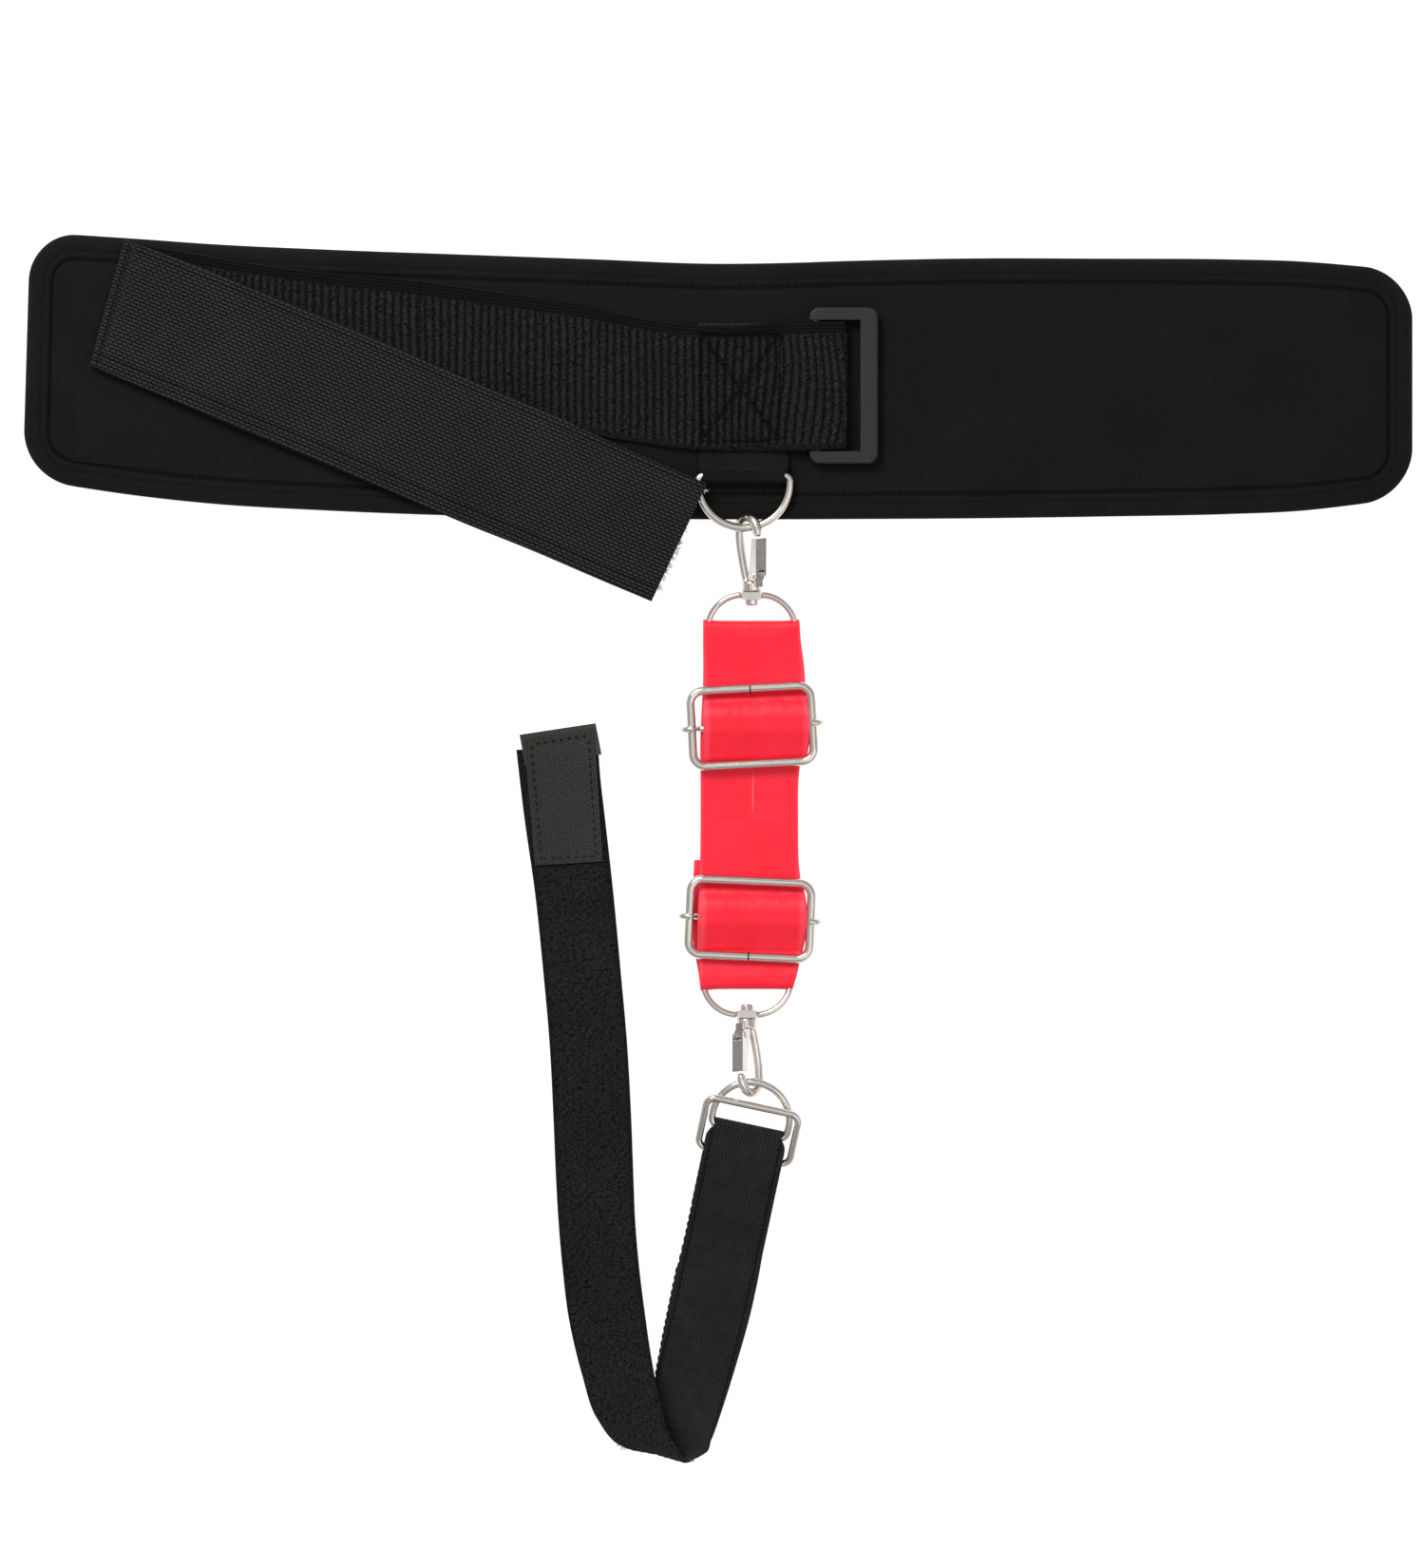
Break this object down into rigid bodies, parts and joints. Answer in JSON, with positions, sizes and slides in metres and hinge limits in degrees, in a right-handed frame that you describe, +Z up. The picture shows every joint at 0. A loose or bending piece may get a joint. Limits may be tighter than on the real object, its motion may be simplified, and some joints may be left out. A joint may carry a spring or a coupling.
{
  "type": "gait belt with leg-assist line",
  "caption": "Padded waist belt with a hook-and-loop closure strap and loop, and an elastic leg-assist line on swivel snap hooks leading to an ankle strap.",
  "frame": {"origin": "middle of the waist pad's inner face, on the plane the belt lies on", "axes": "+X along the waist pad to the right, +Y across the pad away from the leg line, +Z up out of the pad's outer face"},
  "size_m": [0.54, 0.4762, 0.0256],
  "materials": {
    "pad_fabric": "matte",
    "panel_fabric": "matte",
    "loop_elastic": "matte",
    "ribbed_elastic": "matte",
    "hook_tape": "matte",
    "loop_plastic": "satin",
    "black_webbing": "matte",
    "loop_webbing": "matte",
    "nickel_wire": "polished",
    "nickel_casting": "polished",
    "spring_steel": "satin",
    "red_elastomer": "satin"
  },
  "bodies": {
    "waist_centre": {"pad_centre": "pad_fabric", "closure_strap_anchor": "loop_elastic", "d_ring_tab": "black_webbing"},
    "waist_left_middle": {"pad_left_middle": "pad_fabric", "closure_strap_middle_run": "loop_elastic"},
    "waist_left_end": {"pad_left_end": "pad_fabric", "end_panel": "panel_fabric", "closure_strap_end_run": "loop_elastic", "closure_strap_fold": "loop_elastic"},
    "waist_right_middle": {"pad_right_middle": "pad_fabric"},
    "waist_right_end": {"pad_right_end": "pad_fabric"},
    "closure_strap_root": {"closure_strap_upper_run": "ribbed_elastic"},
    "closure_strap_middle": {"closure_strap_upper_middle": "ribbed_elastic"},
    "closure_strap_tip": {"closure_strap_tip": "ribbed_elastic", "closure_hook_patch": "hook_tape"},
    "closure_loop": {"closure_loop": "loop_plastic"},
    "belt_ring": {"belt_d_ring": "nickel_wire"},
    "upper_hook": {"upper_hook": "nickel_casting", "upper_gate_pin": "nickel_casting"},
    "upper_gate": {"upper_hook_gate": "nickel_casting", "upper_gate_spring": "spring_steel"},
    "upper_bail": {"upper_bail": "nickel_wire"},
    "band_upper": {"leg_band_upper_loop": "red_elastomer", "leg_band_upper_run": "red_elastomer"},
    "upper_slider": {"upper_slider_frame": "nickel_wire"},
    "upper_slider_bar": {"upper_slider_bar": "nickel_wire", "upper_band_bulge": "red_elastomer"},
    "band_middle": {"leg_band_middle": "red_elastomer"},
    "band_lower": {"leg_band_lower_run": "red_elastomer", "leg_band_lower_loop": "red_elastomer"},
    "lower_slider": {"lower_slider_frame": "nickel_wire"},
    "lower_slider_bar": {"lower_slider_bar": "nickel_wire", "lower_band_bulge": "red_elastomer"},
    "lower_bail": {"lower_bail": "nickel_wire"},
    "lower_hook": {"lower_hook": "nickel_casting", "lower_gate_pin": "nickel_casting"},
    "lower_gate": {"lower_hook_gate": "nickel_casting", "lower_gate_spring": "spring_steel"},
    "ankle_ring": {"ankle_d_ring": "nickel_wire"},
    "ankle_run": {"ankle_strap_run": "black_webbing", "ankle_strap_foot": "black_webbing"},
    "ankle_rect_ring": {"ankle_rect_ring": "nickel_wire"},
    "ankle_free": {"ankle_strap_free_foot": "loop_webbing", "ankle_strap_free_run": "loop_webbing"},
    "ankle_tip": {"ankle_strap_tip": "loop_webbing", "ankle_hook_patch": "hook_tape"}
  },
  "joints": [
    {"name": "waist_wrap", "type": "hinge", "parent": "waist_centre", "child": "waist_left_middle", "pos_m": [-0.062, 0, 0], "axis": [0, -1, 0], "range_deg": [0, 45]},
    {"name": "left_end_bend", "type": "hinge", "parent": "waist_left_middle", "child": "waist_left_end", "pos_m": [-0.17, 0, 0], "axis": [0, -1, 0], "range_deg": [0, 45]},
    {"name": "right_middle_bend", "type": "hinge", "parent": "waist_centre", "child": "waist_right_middle", "pos_m": [0.066, 0, 0], "axis": [0, 1, 0], "range_deg": [0, 45]},
    {"name": "right_end_bend", "type": "hinge", "parent": "waist_right_middle", "child": "waist_right_end", "pos_m": [0.17, 0, 0], "axis": [0, 1, 0], "range_deg": [0, 45]},
    {"name": "closure_strap_lift", "type": "hinge", "parent": "waist_left_end", "child": "closure_strap_root", "pos_m": [-0.23815, 0.0326, 0.00825], "axis": [-0.2402, -0.9707, 0], "range_deg": [0, 170]},
    {"name": "closure_strap_middle_bend", "type": "hinge", "parent": "closure_strap_root", "child": "closure_strap_middle", "pos_m": [-0.17, 0, 0], "axis": [0, 1, 0], "range_deg": [0, 45]},
    {"name": "closure_strap_tip_bend", "type": "hinge", "parent": "closure_strap_middle", "child": "closure_strap_tip", "pos_m": [-0.062, 0, 0], "axis": [0, 1, 0], "range_deg": [0, 45]},
    {"name": "closure_loop_flip", "type": "hinge", "parent": "waist_centre", "child": "closure_loop", "pos_m": [0.0376, 0.00035, 0.00935], "axis": [0, -1, 0], "range_deg": [0, 150]},
    {"name": "belt_ring_tilt", "type": "hinge", "parent": "waist_centre", "child": "belt_ring", "pos_m": [0.0096, -0.0346, 0.0089], "axis": [-1, 0, 0], "range_deg": [0, 12]},
    {"name": "upper_hook_swing", "type": "hinge", "parent": "belt_ring", "child": "upper_hook", "pos_m": [0.01131, -0.05486, 0.00766], "axis": [-1, 0, 0], "range_deg": [-35, 24]},
    {"name": "upper_gate_open", "type": "hinge", "parent": "upper_hook", "child": "upper_gate", "pos_m": [0.01478, -0.07319, 0.00888], "axis": [-0.766, -0.1028, 0.6345], "range_deg": [0, 20], "stiffness_Nm_per_rad": 0.02, "springref_deg": -11.46},
    {"name": "upper_swivel", "type": "hinge", "parent": "upper_hook", "child": "upper_bail", "pos_m": [0.0126, -0.07919, 0.00527], "axis": [0, 0.9871, 0.1599], "continuous": true},
    {"name": "upper_bail_pivot", "type": "hinge", "parent": "upper_bail", "child": "band_upper", "pos_m": [0.0126, -0.09301, 0.00303], "axis": [1, 0, 0], "range_deg": [-45, 60]},
    {"name": "upper_slider_travel", "type": "slide", "parent": "band_upper", "child": "upper_slider", "axis": [0, 1, 0], "range_m": [-0.015, 0.01]},
    {"name": "upper_slider_bar_slide", "type": "slide", "parent": "upper_slider", "child": "upper_slider_bar", "axis": [-0.0523, 0.9986, 0], "range_m": [-0.0025, 0.0025]},
    {"name": "leg_band_bend", "type": "hinge", "parent": "band_upper", "child": "band_middle", "pos_m": [0.0126, -0.1657, 0.00245], "axis": [-1, 0, 0], "range_deg": [-40, 40]},
    {"name": "leg_band_stretch", "type": "slide", "parent": "band_middle", "child": "band_lower", "axis": [0, -1, 0], "range_m": [0, 0.02], "stiffness_N_per_m": 200},
    {"name": "lower_slider_travel", "type": "slide", "parent": "band_lower", "child": "lower_slider", "axis": [0, 1, 0], "range_m": [0, 0.014]},
    {"name": "lower_slider_bar_slide", "type": "slide", "parent": "lower_slider", "child": "lower_slider_bar", "axis": [0.0436, 0.999, 0], "range_m": [-0.0005, 0.0025]},
    {"name": "lower_bail_pivot", "type": "hinge", "parent": "band_lower", "child": "lower_bail", "pos_m": [0.01077, -0.23209, 0.00299], "axis": [1, 0, 0], "range_deg": [-45, 60]},
    {"name": "lower_swivel", "type": "hinge", "parent": "lower_bail", "child": "lower_hook", "pos_m": [0.01077, -0.24591, 0.00522], "axis": [0, -0.9871, 0.1599], "continuous": true},
    {"name": "lower_gate_open", "type": "hinge", "parent": "lower_hook", "child": "lower_gate", "pos_m": [0.00858, -0.25191, 0.00884], "axis": [0.766, 0.1028, 0.6345], "range_deg": [0, 20], "stiffness_Nm_per_rad": 0.02, "springref_deg": -11.46},
    {"name": "lower_hook_swing", "type": "hinge", "parent": "lower_hook", "child": "ankle_ring", "pos_m": [0.01206, -0.27024, 0.00761], "axis": [-1, 0, 0], "range_deg": [-35, 60]},
    {"name": "ankle_ring_pivot", "type": "hinge", "parent": "ankle_ring", "child": "ankle_run", "pos_m": [0.0113, -0.2897, 0.0033], "axis": [0.9781, -0.2079, 0], "range_deg": [0, 40]},
    {"name": "ankle_rect_ring_lift", "type": "hinge", "parent": "ankle_run", "child": "ankle_rect_ring", "pos_m": [0.0093, -0.29909, 0.0033], "axis": [0.9781, -0.2079, 0], "range_deg": [0, 110]},
    {"name": "ankle_strap_unfold", "type": "hinge", "parent": "ankle_run", "child": "ankle_free", "pos_m": [-0.01225, -0.4165, 0.0132], "axis": [0.101, 0.0404, 0.9941], "range_deg": [0, 150]},
    {"name": "ankle_tip_curl", "type": "hinge", "parent": "ankle_free", "child": "ankle_tip", "pos_m": [-0.05329, -0.24626, 0.00215], "axis": [0.9964, 0.0845, 0], "range_deg": [0, 80]}
  ],
  "couplings": [
    {"joint": "left_end_bend", "follows": "waist_wrap", "ratio": 1},
    {"joint": "right_middle_bend", "follows": "waist_wrap", "ratio": 1},
    {"joint": "right_end_bend", "follows": "waist_wrap", "ratio": 1},
    {"joint": "closure_strap_middle_bend", "follows": "waist_wrap", "ratio": 1},
    {"joint": "closure_strap_tip_bend", "follows": "waist_wrap", "ratio": 1}
  ]
}
